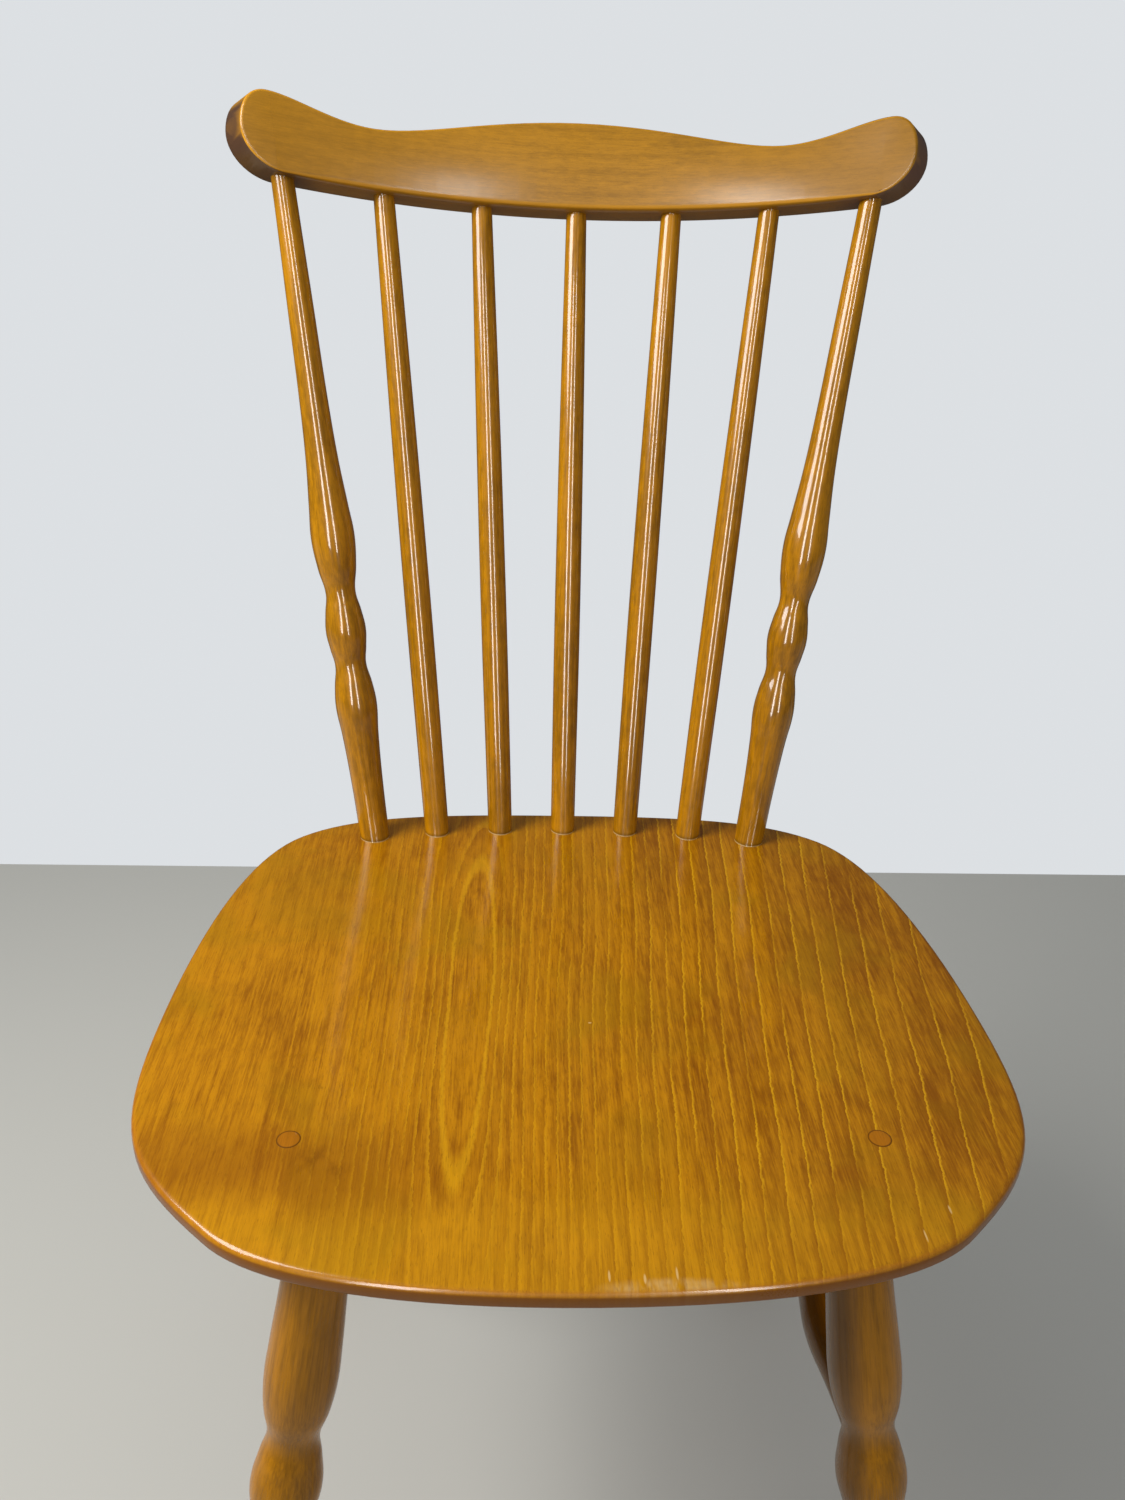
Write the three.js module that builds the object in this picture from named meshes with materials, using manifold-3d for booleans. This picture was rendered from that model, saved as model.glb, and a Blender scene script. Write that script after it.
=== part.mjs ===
// Spindle-back dining chair in turned beech, millimetres, +Z up.
// X runs to the right of someone facing the chair, Y from the chair's front to its back.
// Left and right in the names are that person's, too.
import * as THREE from 'three';
import { mergeVertices } from 'three/addons/utils/BufferGeometryUtils.js';
import Module from 'manifold-3d';

const wasm = await Module();
wasm.setup();

// ---------- driving dimensions ----------

const CLEARANCE = 0.3; // gap between any two pieces that fit together
const SIDES = 14; // facets round a turned piece
const THIN_SIDES = 10; // facets round a plain spindle

const SEAT_HEIGHT = 450; // floor to the top of the seat
const SEAT_WIDTH = 428;
const SEAT_DEPTH = 400;
const SEAT_THICKNESS = 26;
const SEAT_RIM = 8; // height of the upright band under the top edge
const SEAT_CHAMFER = 20; // how far the underside is drawn in behind that band
const SEAT_EDGE_ROUND = 3;
const DISH_DEPTH = 4;
const DISH_HALF_WIDTH = 165;
const DISH_HALF_DEPTH = 145;

const BACK_RAKE = THREE.MathUtils.degToRad(15.86); // lean of the middle spindle and of the rail
const BACK_LENGTH = 396; // middle spindle, from the seat to the rail
const ROW_INSET = 21.8; // middle spindle's centre in from the back edge of the seat
const ROW_RADIUS = 640; // the row of spindles curves forward on the seat
const SEAT_PITCH = 42.4; // spacing of the spindles at the seat
const RAIL_PITCH = 59.5; // and at the rail
const POST_AT_SEAT = 125.7; // a post's centre, out from the middle, at the seat
const POST_AT_RAIL = 176.4; // and at the rail
const SEAT_SOCKET = 14; // depth of their sockets in the seat
const RAIL_SOCKET = 16; // and in the rail

const RAIL_RADIUS = 420; // bend of the crest rail, at the middle of its thickness
const RAIL_THICKNESS = 23;
const RAIL_HALF_WIDTH = 202; // at the middle of the thickness
const RAIL_HUMP = 50.6; // height at the middle
const RAIL_WAIST = 36; // height at the dip
const RAIL_WAIST_AT = 123;
const RAIL_EAR = 46.4; // height at the ear
const RAIL_EAR_AT = 182;
const RAIL_END = 27; // height of the outermost point
const RAIL_CORNER_AT = 176; // where the bottom edge turns up into the end
const RAIL_EDGE_RADIUS = 3700; // the bottom edge rises on this large arc
const RAIL_FLARE = 0.72; // the ends widen by this share of the way back
const RAIL_FLARE_FROM = 140; // and the widening starts this far out
const RAIL_BOARD_FRONT = -75; // the board it is cut from reaches this far in front of the bend

const FRONT_LEG = { inset: 98, fromEdge: 43, out: 0.148, back: -0.175 };
const REAR_LEG = { inset: 95, fromEdge: 96, out: 0.14, back: 0.25 };
const LEG_SOCKET = 16; // depth of the leg's socket in the underside
const LEG_TOP_RADIUS = 14.3;
const FOOT_RADIUS = 10.5;
const STRETCHER_DROP = 118; // along the leg, from the seat to the swelling that takes the stretcher

const STRETCHER_END_RADIUS = 7.4;
const STRETCHER_SWELL = 14;
const STRETCHER_WAIST = 9.3;
const STRETCHER_BALL = 14.5; // middle swelling that takes the cross stretcher
const CROSS_END_RADIUS = 6.8;
const CROSS_SWELL = 12.8;
const TENON_STOP = 4; // a stretcher's end stops this far short of the axis it enters

const PLUG_RADIUS = 5.5;
const PLUG_DEPTH = 10;
const PLUG_INSET = 80; // in from the side of the seat
const PLUG_FROM_FRONT = 84;

// Turned outlines, as [distance along the piece, radius].
const SPINDLE_TURNING = [[0, 8], [50, 8.2], [130, 8.45], [210, 8.2], [290, 7.6], [365, 6.8]];
const SPINDLE_TOP_RADIUS = 6.4;
const POST_TURNING = [
  [0, 9.6], [40, 10.3], [70, 11.7], [90, 13.2], [103, 12], [116, 9.9], [127, 11.5], [138, 12.7],
  [150, 11.4], [162, 9.4], [178, 12], [197, 13.6], [216, 12.2], [243, 10.1], [275, 8.8], [335, 7.8],
];
const POST_TOP_RADIUS = 6.7;
const LEG_TURNING = [
  [0, LEG_TOP_RADIUS], [18, 14.7], [43, 15.8], [62, 16.2], [76, 14.8], [91, 11.7], [103, 14],
  [STRETCHER_DROP, 16.1], [130, 14.6], [144, 11.8], [160, 13.6], [182, 15.6], [209, 15.2], [254, 13.8],
];

// ---------- places worked out from them ----------

const SEAT_HALF = SEAT_WIDTH / 2;
const SEAT_FRONT = -184;
const SEAT_WIDEST = SEAT_FRONT + 167;
const SEAT_BACK = SEAT_FRONT + SEAT_DEPTH;
const SEAT_UNDERSIDE = SEAT_HEIGHT - SEAT_THICKNESS;

// A point of the crest rail: across, through its thickness from the middle, and up from its bottom edge.
const railUp = new THREE.Vector3(0, Math.sin(BACK_RAKE), Math.cos(BACK_RAKE));
const railBack = new THREE.Vector3(0, Math.cos(BACK_RAKE), -Math.sin(BACK_RAKE));
const railOrigin = new THREE.Vector3(0, SEAT_BACK - ROW_INSET, SEAT_HEIGHT)
  .addScaledVector(railUp, BACK_LENGTH);
const railMatrix = new THREE.Matrix4()
  .makeBasis(new THREE.Vector3(1, 0, 0), railBack, railUp)
  .setPosition(railOrigin);

function railEdge(x) {
  return (x * x) / (2 * RAIL_EDGE_RADIUS);
}

function railPoint(x) {
  const sag = RAIL_RADIUS - Math.sqrt(RAIL_RADIUS ** 2 - x ** 2);
  return new THREE.Vector3(x, -sag, railEdge(x)).applyMatrix4(railMatrix);
}

function rowPoint(x) {
  return new THREE.Vector3(x, SEAT_BACK - ROW_INSET - (x * x) / (2 * ROW_RADIUS), SEAT_HEIGHT);
}

// A leg's axis: where it meets the seat's underside, its downward direction and its length to the floor.
function legAxis(leg, edge, side) {
  const top = new THREE.Vector3(side * (SEAT_HALF - leg.inset), edge, SEAT_UNDERSIDE);
  const slope = new THREE.Vector3(side * leg.out, leg.back, -1);
  return { top, direction: slope.clone().normalize(), length: SEAT_UNDERSIDE * slope.length() };
}

function pointAlong(axis, distance) {
  return axis.top.clone().addScaledVector(axis.direction, distance);
}

// ---------- shapes ----------

function toSolid(geometry) {
  const bare = geometry.clone();
  bare.deleteAttribute('normal');
  bare.deleteAttribute('uv');
  const merged = mergeVertices(bare, 1e-4);
  const corners = merged.index.array;
  const triangles = [];
  for (let i = 0; i < corners.length; i += 3) {
    const [a, b, c] = corners.slice(i, i + 3);
    if (a !== b && b !== c && c !== a) triangles.push(a, b, c);
  }
  const mesh = new wasm.Mesh({
    numProp: 3,
    vertProperties: new Float32Array(merged.attributes.position.array),
    triVerts: new Uint32Array(triangles),
  });
  return new wasm.Manifold(mesh);
}

function toGeometry(solid) {
  const mesh = solid.getMesh();
  const geometry = new THREE.BufferGeometry();
  geometry.setAttribute('position', new THREE.BufferAttribute(mesh.vertProperties, 3));
  geometry.setIndex(new THREE.BufferAttribute(mesh.triVerts, 1));
  geometry.computeVertexNormals();
  return geometry;
}

function cut(solid, cutters) {
  return cutters.reduce((rest, cutter) => rest.subtract(toSolid(cutter)), solid);
}

// A closed shape from the Bezier curves of its right half, which start and end on the middle line.
function symmetricShape(right) {
  const left = right.map((curve) => curve.map(([x, y]) => [-x, y]).reverse()).reverse();
  const shape = new THREE.Shape();
  shape.moveTo(...right[0][0]);
  for (const [, a, b, end] of [...right, ...left]) shape.bezierCurveTo(...a, ...b, ...end);
  return shape;
}

// Turns a shape that stands on the Y axis so that it runs from start along direction.
function aim(geometry, start, direction) {
  const turn = new THREE.Quaternion().setFromUnitVectors(new THREE.Vector3(0, 1, 0), direction);
  return geometry.applyQuaternion(turn).translate(start.x, start.y, start.z);
}

function turned(outline, sides) {
  const points = outline.map(([distance, radius]) => new THREE.Vector3(radius, distance, 0));
  const curve = new THREE.CatmullRomCurve3(points, false, 'centripetal');
  const rim = curve.getPoints(2 * (points.length - 1)).map((p) => new THREE.Vector2(p.x, p.y));
  const first = new THREE.Vector2(0, rim[0].y);
  const last = new THREE.Vector2(0, rim[rim.length - 1].y);
  return new THREE.LatheGeometry([first, ...rim, last], sides);
}

// A round hole to be cut from start along direction, opened a little beyond its mouth.
function bore(start, direction, radius, depth, sides) {
  const mouth = 12;
  const hole = new THREE.CylinderGeometry(radius, radius, depth + mouth, sides);
  hole.translate(0, (depth - mouth) / 2, 0);
  return aim(hole, start, direction);
}

// Bores are drawn round their polygon, so that their flats clear the piece's corners.
function clearRadius(radius, sides) {
  return (radius + CLEARANCE) / Math.cos(Math.PI / sides);
}

// ---------- the back ----------

// Spindles and posts stand in a row of seven, numbered from the middle, with the posts at its two ends.
const POST_PLACE = 3;

function backMember(place) {
  const isPost = Math.abs(place) === POST_PLACE;
  const side = Math.sign(place);
  const foot = rowPoint(isPost ? side * POST_AT_SEAT : place * SEAT_PITCH);
  const top = railPoint(isPost ? side * POST_AT_RAIL : place * RAIL_PITCH);
  const direction = top.clone().sub(foot);
  const length = direction.length();
  direction.normalize();
  const outline = isPost ? POST_TURNING : SPINDLE_TURNING;
  const topRadius = isPost ? POST_TOP_RADIUS : SPINDLE_TOP_RADIUS;
  const sides = isPost ? SIDES : THIN_SIDES;
  return { isPost, foot, top, direction, length, outline, topRadius, sides };
}

function backMemberGeometry({ foot, direction, length, outline, topRadius, sides }) {
  const tenon = [-SEAT_SOCKET, outline[0][1]];
  const top = [[length, topRadius], [length + RAIL_SOCKET, topRadius]];
  return aim(turned([tenon, ...outline, ...top], sides), foot, direction);
}

// The right half of the outline, from the middle of the bottom edge to the hump, as Bezier curves:
// start point, two handles and end point.
function railHalf() {
  const corner = [RAIL_CORNER_AT, railEdge(RAIL_CORNER_AT)];
  const end = [RAIL_HALF_WIDTH, RAIL_END];
  const ear = [RAIL_EAR_AT, RAIL_EAR];
  const waist = [RAIL_WAIST_AT, RAIL_WAIST];
  return [
    [[0, 0], [corner[0] / 3, 0], [corner[0] * 2 / 3, corner[1] / 3], corner],
    [corner, [corner[0] + 14, corner[1] + 2], [end[0], end[1] - 13], end],
    [end, [end[0], end[1] + 11], [ear[0] + 10, ear[1]], ear],
    [ear, [ear[0] - 16, ear[1]], [waist[0] + 23, waist[1]], waist],
    [waist, [waist[0] - 29, waist[1]], [56, RAIL_HUMP], [0, RAIL_HUMP]],
  ];
}

// Widens the ends of a board that lies in the rail's frame towards its back.
function flare(geometry) {
  const middle = railPoint(RAIL_HALF_WIDTH).applyMatrix4(railMatrix.clone().invert()).y;
  const place = geometry.attributes.position;
  for (let i = 0; i < place.count; i += 1) {
    const x = place.getX(i);
    const share = THREE.MathUtils.smoothstep(Math.abs(x), RAIL_FLARE_FROM, RAIL_HALF_WIDTH);
    place.setX(i, x + Math.sign(x) * share * RAIL_FLARE * (place.getY(i) - middle));
  }
}

function crestRail(members) {
  const spare = 20;
  const reach = Math.asin((RAIL_HALF_WIDTH + spare) / RAIL_RADIUS);
  const inner = RAIL_RADIUS - RAIL_THICKNESS / 2;
  const outer = RAIL_RADIUS + RAIL_THICKNESS / 2;
  const band = new THREE.Shape();
  band.absarc(0, -RAIL_RADIUS, outer, Math.PI / 2 - reach, Math.PI / 2 + reach, false);
  band.absarc(0, -RAIL_RADIUS, inner, Math.PI / 2 + reach, Math.PI / 2 - reach, true);
  band.closePath();
  const tall = RAIL_HUMP + 2 * spare;
  const slab = new THREE.ExtrudeGeometry(band, { depth: tall, bevelEnabled: false, curveSegments: 28 });
  slab.translate(0, 0, -spare);
  const outline = symmetricShape(railHalf());
  const depth = RAIL_THICKNESS - RAIL_BOARD_FRONT;
  const board = new THREE.ExtrudeGeometry(outline, { depth, bevelEnabled: false, curveSegments: 7 });
  board.rotateX(Math.PI / 2).translate(0, RAIL_THICKNESS, 0);
  flare(board);
  slab.applyMatrix4(railMatrix);
  board.applyMatrix4(railMatrix);
  const sockets = members.map(({ top, direction, topRadius, sides }) => (
    bore(top, direction, clearRadius(topRadius, sides), RAIL_SOCKET + CLEARANCE, sides)));
  return toGeometry(cut(toSolid(slab).intersect(toSolid(board)), sockets));
}

// ---------- the seat ----------

// The right half, from the middle of the front edge round to the middle of the back edge.
function seatOutline() {
  const half = SEAT_HALF;
  const front = SEAT_FRONT;
  const back = SEAT_BACK;
  const frontCorner = [half - 53, front + 33];
  const side = [half, SEAT_WIDEST];
  const backCorner = [half - 40, back - 34];
  return symmetricShape([
    [[0, front], [92, front], [half - 73, front + 14], frontCorner],
    [frontCorner, [half - 11, front + 70], [half, SEAT_WIDEST - 76], side],
    [side, [half, SEAT_WIDEST + 86], [half - 11, back - 61], backCorner],
    [backCorner, [half - 72, back - 4], [88, back], [0, back]],
  ]);
}

// The board with its rounded top edge, trimmed by a second one whose lower edge is drawn in.
function seatBoard() {
  const rounded = new THREE.ExtrudeGeometry(seatOutline(), {
    depth: SEAT_THICKNESS - SEAT_EDGE_ROUND,
    bevelThickness: SEAT_EDGE_ROUND,
    bevelSize: SEAT_EDGE_ROUND,
    bevelOffset: -SEAT_EDGE_ROUND,
    bevelSegments: 2,
    curveSegments: 8,
  });
  rounded.translate(0, 0, SEAT_UNDERSIDE);
  const tapered = new THREE.ExtrudeGeometry(seatOutline(), {
    depth: SEAT_THICKNESS,
    bevelThickness: SEAT_THICKNESS - SEAT_RIM,
    bevelSize: SEAT_CHAMFER,
    bevelOffset: -SEAT_CHAMFER,
    bevelSegments: 1,
    curveSegments: 8,
  });
  tapered.translate(0, 0, SEAT_HEIGHT - SEAT_RIM);
  return toSolid(rounded).intersect(toSolid(tapered));
}

function dishCutter() {
  const rings = 6;
  const above = 10;
  const profile = [new THREE.Vector2(0, -DISH_DEPTH)];
  for (let i = 1; i <= rings; i += 1) {
    const share = i / rings;
    profile.push(new THREE.Vector2(share, -DISH_DEPTH * (1 - share * share)));
  }
  profile.push(new THREE.Vector2(1, above), new THREE.Vector2(0, above));
  const dish = new THREE.LatheGeometry(profile, 36);
  dish.rotateX(Math.PI / 2).scale(DISH_HALF_WIDTH, DISH_HALF_DEPTH, 1);
  return dish.translate(0, 0, SEAT_HEIGHT);
}

function seat(members, legs, plugs) {
  const cutters = [dishCutter()];
  for (const { foot, direction, outline, sides } of members) {
    const down = direction.clone().negate();
    cutters.push(bore(foot, down, clearRadius(outline[0][1], sides), SEAT_SOCKET + CLEARANCE, sides));
  }
  for (const { top, direction } of legs) {
    const up = direction.clone().negate();
    cutters.push(bore(top, up, clearRadius(LEG_TOP_RADIUS, SIDES), LEG_SOCKET + CLEARANCE, SIDES));
  }
  for (const plug of plugs) {
    const down = new THREE.Vector3(0, 0, -1);
    cutters.push(bore(plug, down, clearRadius(PLUG_RADIUS, SIDES), PLUG_DEPTH + CLEARANCE, SIDES));
  }
  return toGeometry(cut(seatBoard(), cutters));
}

function plugGeometry(place) {
  const plug = new THREE.CylinderGeometry(PLUG_RADIUS, PLUG_RADIUS, PLUG_DEPTH, SIDES);
  return plug.rotateX(Math.PI / 2).translate(place.x, place.y, place.z - PLUG_DEPTH / 2);
}

// ---------- legs and stretchers ----------

function stretcherAxis(from, to) {
  const direction = to.clone().sub(from);
  const length = direction.length();
  return { top: from, direction: direction.normalize(), length };
}

// The foot runs past the floor and is cut level with it.
function legGeometry(axis, stretcherDirection) {
  const past = 12;
  const outline = [[-LEG_SOCKET, LEG_TOP_RADIUS], ...LEG_TURNING, [axis.length + past, FOOT_RADIUS]];
  const leg = toSolid(aim(turned(outline, SIDES), axis.top, axis.direction));
  const floor = new THREE.BoxGeometry(SEAT_WIDTH * 2, SEAT_DEPTH * 2, 4 * past);
  floor.translate(0, 0, -2 * past);
  const joint = pointAlong(axis, STRETCHER_DROP);
  const entry = TENON_STOP - CLEARANCE;
  const deep = LEG_TOP_RADIUS;
  const mouth = joint.clone().addScaledVector(stretcherDirection, deep);
  const inward = stretcherDirection.clone().negate();
  const socket = bore(mouth, inward, clearRadius(STRETCHER_END_RADIUS, SIDES), deep - entry, SIDES);
  return toGeometry(cut(leg, [floor, socket]));
}

function sideStretcherOutline(length) {
  const middle = length / 2;
  const half = [
    [TENON_STOP, STRETCHER_END_RADIUS], [22, STRETCHER_END_RADIUS + 0.3], [44, 10],
    [74, STRETCHER_SWELL], [98, 12.4], [middle - 28, STRETCHER_WAIST],
  ];
  const other = half.map(([distance, radius]) => [length - distance, radius]).reverse();
  return [...half, [middle, STRETCHER_BALL], ...other];
}

function crossStretcherOutline(length) {
  const half = [[TENON_STOP, CROSS_END_RADIUS], [20, CROSS_END_RADIUS + 0.4], [70, 11.4]];
  const other = half.map(([distance, radius]) => [length - distance, radius]).reverse();
  return [...half, [length / 2, CROSS_SWELL], ...other];
}

function sideStretcher(axis, crossDirection) {
  const bar = toSolid(aim(turned(sideStretcherOutline(axis.length), SIDES), axis.top, axis.direction));
  const deep = STRETCHER_BALL;
  const mouth = pointAlong(axis, axis.length / 2).addScaledVector(crossDirection, deep);
  const inward = crossDirection.clone().negate();
  const radius = clearRadius(CROSS_END_RADIUS, SIDES);
  return toGeometry(cut(bar, [bore(mouth, inward, radius, deep - TENON_STOP + CLEARANCE, SIDES)]));
}

// ---------- the chair ----------

const chair = new THREE.Group();

function add(name, geometry, color, roughness) {
  const material = new THREE.MeshStandardMaterial({ color, roughness, metalness: 0 });
  const mesh = new THREE.Mesh(geometry, material);
  mesh.name = name;
  chair.add(mesh);
}

const SEAT_COLOR = 0xc9882c;
const BACK_COLOR = 0xa86f2b;
const LEG_COLOR = 0x9a6420;
const PLUG_COLOR = 0xb4762a;
const VARNISH = 0.3;

const members = [-POST_PLACE, -2, -1, 0, 1, 2, POST_PLACE].map(backMember);
const frontLegs = [];
const rearLegs = [];
const plugs = [];
for (const side of [-1, 1]) {
  frontLegs.push(legAxis(FRONT_LEG, SEAT_FRONT + FRONT_LEG.fromEdge, side));
  rearLegs.push(legAxis(REAR_LEG, SEAT_BACK - REAR_LEG.fromEdge, side));
  plugs.push(new THREE.Vector3(side * (SEAT_HALF - PLUG_INSET), SEAT_FRONT + PLUG_FROM_FRONT, SEAT_HEIGHT));
}

add('seat', seat(members, [...frontLegs, ...rearLegs], plugs), SEAT_COLOR, VARNISH);
add('crest_rail', crestRail(members), BACK_COLOR, VARNISH);

members.forEach((member, i) => {
  const outer = i === 0 ? 'post_left' : 'post_right';
  const name = member.isPost ? outer : `spindle_${i}`;
  add(name, backMemberGeometry(member), BACK_COLOR, VARNISH);
});

const sideAxes = [0, 1].map((i) => (
  stretcherAxis(pointAlong(frontLegs[i], STRETCHER_DROP), pointAlong(rearLegs[i], STRETCHER_DROP))));
const crossAxis = stretcherAxis(...sideAxes.map((axis) => pointAlong(axis, axis.length / 2)));

[-1, 1].forEach((side, i) => {
  const name = side < 0 ? 'left' : 'right';
  const toRear = sideAxes[i].direction;
  const toMiddle = crossAxis.direction.clone().multiplyScalar(-side);
  add(`leg_front_${name}`, legGeometry(frontLegs[i], toRear), LEG_COLOR, VARNISH);
  add(`leg_rear_${name}`, legGeometry(rearLegs[i], toRear.clone().negate()), LEG_COLOR, VARNISH);
  add(`side_stretcher_${name}`, sideStretcher(sideAxes[i], toMiddle), LEG_COLOR, VARNISH);
  add(`seat_plug_${name}`, plugGeometry(plugs[i]), PLUG_COLOR, VARNISH);
});

const crossBar = turned(crossStretcherOutline(crossAxis.length), SIDES);
add('cross_stretcher', aim(crossBar, crossAxis.top, crossAxis.direction), LEG_COLOR, VARNISH);

// The origin is on the floor, under the middle of the chair's box.
const box = new THREE.Box3().setFromObject(chair, true);
chair.position.y = -(box.min.y + box.max.y) / 2;

export default chair;
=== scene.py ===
"""Spindle-back dining chair in varnished beech, modelled over its CAD frame.

Metres, +X to the right of someone facing the chair, +Y from its front to its back, +Z up.
Left and right in the names are that person's, too.
"""

import math

import bpy
import numpy as np
from mathutils import Matrix, Vector


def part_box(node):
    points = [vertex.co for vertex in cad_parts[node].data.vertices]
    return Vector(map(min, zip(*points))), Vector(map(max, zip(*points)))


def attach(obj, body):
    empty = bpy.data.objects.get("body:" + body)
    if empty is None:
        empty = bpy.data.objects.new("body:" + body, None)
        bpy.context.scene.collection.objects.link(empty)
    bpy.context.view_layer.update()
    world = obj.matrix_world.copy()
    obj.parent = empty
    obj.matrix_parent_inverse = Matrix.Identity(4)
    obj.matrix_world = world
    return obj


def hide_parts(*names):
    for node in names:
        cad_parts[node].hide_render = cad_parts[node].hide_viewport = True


bl_info = {
    "name": "Spindle-back Chair",
    "version": (1, 0, 0),
    "blender": (4, 5, 0),
    "location": "3D View > Sidebar > Chair",
    "description": "Builds a turned and varnished spindle-back dining chair piece by piece",
    "category": "Add Mesh",
}

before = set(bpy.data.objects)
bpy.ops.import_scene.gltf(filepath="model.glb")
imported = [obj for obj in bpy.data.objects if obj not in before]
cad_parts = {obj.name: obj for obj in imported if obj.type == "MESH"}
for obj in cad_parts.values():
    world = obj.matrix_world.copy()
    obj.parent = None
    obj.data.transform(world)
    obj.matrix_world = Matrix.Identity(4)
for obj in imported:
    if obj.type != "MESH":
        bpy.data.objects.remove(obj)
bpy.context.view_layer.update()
BODY = "root"
MM = 0.001
SAME = 1e-6  # points closer than this are one point
SEAT_LOW, SEAT_HIGH = (Vector(corner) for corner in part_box("seat"))
SEAT_TOP = SEAT_HIGH.z
SEAT_MIDDLE_Y = (SEAT_LOW.y + SEAT_HIGH.y) / 2

# The wood's patterns, in repeats per metre across the grain and along it.
FINE = (1300, 55)
FLECKS = (1900, 230)
STREAKS = (380, 13)
PATCHES = (24, 9)
GRAIN = "grain"  # the attribute that holds each piece's own place in its wood
OWN_TURN = 2.4  # each turned piece's wood is turned and moved by this times its number
OWN_SHIFT = Vector((0.13, -0.07, 0.31))

# The seat's growth rings run round a long narrow island, left of the middle.
ISLAND_MIDDLE = Vector((-0.0565, -0.038))
ISLAND_HALF_WIDTH = 0.0112
ISLAND_HALF_LENGTH = 0.131
RING_GAP = 4.27  # millimetres from one ring to the next at the island's side
WIDENING = 0.125  # how much wider the gaps get with each island's half width outwards
RING_RATE = 21.0  # rings passed while the gaps grow e-fold
LINE_WIDTH = 1.5  # millimetres

# Marks on the seat: middle, half size.
SMUDGE = ((-0.118, -0.166), (0.017, 0.013))
RUBBED = ((0.03, -0.2325), (0.036, 0.0065))
CHIPS = (
    ((0.0064, -0.062), (0.0012, 0.0007)), ((0.004, -0.226), (0.0006, 0.0035)),
    ((0.018, -0.2275), (0.0007, 0.003)), ((0.031, -0.225), (0.0006, 0.004)),
    ((0.152, -0.193), (0.0006, 0.003)), ((0.137, -0.207), (0.0005, 0.004)),
)
BARE_WOOD = (0.75, 0.5, 0.2)
GLUE = (0.6, 0.42, 0.18)

# Turned outlines in millimetres: distance along the piece, radius.
SPINDLE_OUTLINE = ((0, 8), (50, 8.2), (130, 8.45), (210, 8.2), (290, 7.6), (365, 6.8))
POST_OUTLINE = (
    (0, 9.6), (40, 10.3), (70, 11.7), (90, 13.2), (103, 12), (116, 9.9), (127, 11.5), (138, 12.7),
    (150, 11.4), (162, 9.4), (178, 12), (197, 13.6), (216, 12.2), (243, 10.1), (275, 8.8), (335, 7.8),
)
LEG_OUTLINE = (
    (0, 14.3), (18, 14.7), (43, 15.8), (62, 16.2), (76, 14.8), (91, 11.7), (103, 14), (118, 16.1),
    (130, 14.6), (144, 11.8), (160, 13.6), (182, 15.6), (209, 15.2), (254, 13.8),
)

# How far in from the rounded edge each ring of the seat's top lies, as a share of the way to the middle.
TOP_RINGS = (0.035, 0.07, 0.12, 0.18, 0.25, 0.32, 0.4, 0.48, 0.56, 0.64, 0.72, 0.8, 0.87, 0.93, 0.97)
RAIL_FLARE = 1.0134  # length of the rail's back face over its front one


# ---------- sizes and colours ----------

def length(name, description, default):
    return bpy.props.FloatProperty(
        name=name, description=description, default=default, min=0, precision=4, unit="LENGTH")


def colour(name, description, default):
    return bpy.props.FloatVectorProperty(
        name=name, description=description, default=default, size=3, min=0, max=1, subtype="COLOR")


def amount(name, description, default, top=1.0):
    return bpy.props.FloatProperty(
        name=name, description=description, default=default, min=0, max=top, subtype="FACTOR")


class SeatSettings(bpy.types.PropertyGroup):
    edge_round: length("Edge round", "Radius of the rounded top edge", 3 * MM)
    rim: length("Rim", "Height of the upright band under the top edge", 8 * MM)
    drawn_in: length("Drawn in", "How far the underside is drawn in behind the rim", 20 * MM)
    dish: length("Dish", "Depth of the hollow in the seat", 4 * MM)
    dish_half_width: length("Dish half width", "Half the hollow's width", 170 * MM)
    dish_half_depth: length("Dish half depth", "Half the hollow's size from front to back", 150 * MM)
    dish_from_front: length("Dish from front", "From the front edge to the hollow's middle", 184 * MM)
    wood: colour("Seat wood", "Colour of the seat's wood", (0.55, 0.225, 0.001))
    pale: colour("Pale grain", "Colour of the pale lines in the seat", (0.76, 0.385, 0.004))
    deep: colour("Deep grain", "Colour of the seat's darker patches", (0.255, 0.08, 0.0))
    olive: colour("Olive patches", "Colour where the stain lies greener", (0.36, 0.17, 0.0))
    edge: colour("Rubbed edge", "Colour of the seat's rounded edge", (0.52, 0.17, 0.006))
    # Painted shade: this colour darkens the seat's upright band and its underside.
    rim_shade_colour: colour("Rim wood", "Colour of the upright band and the underside", (0.225, 0.066, 0.0))


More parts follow.
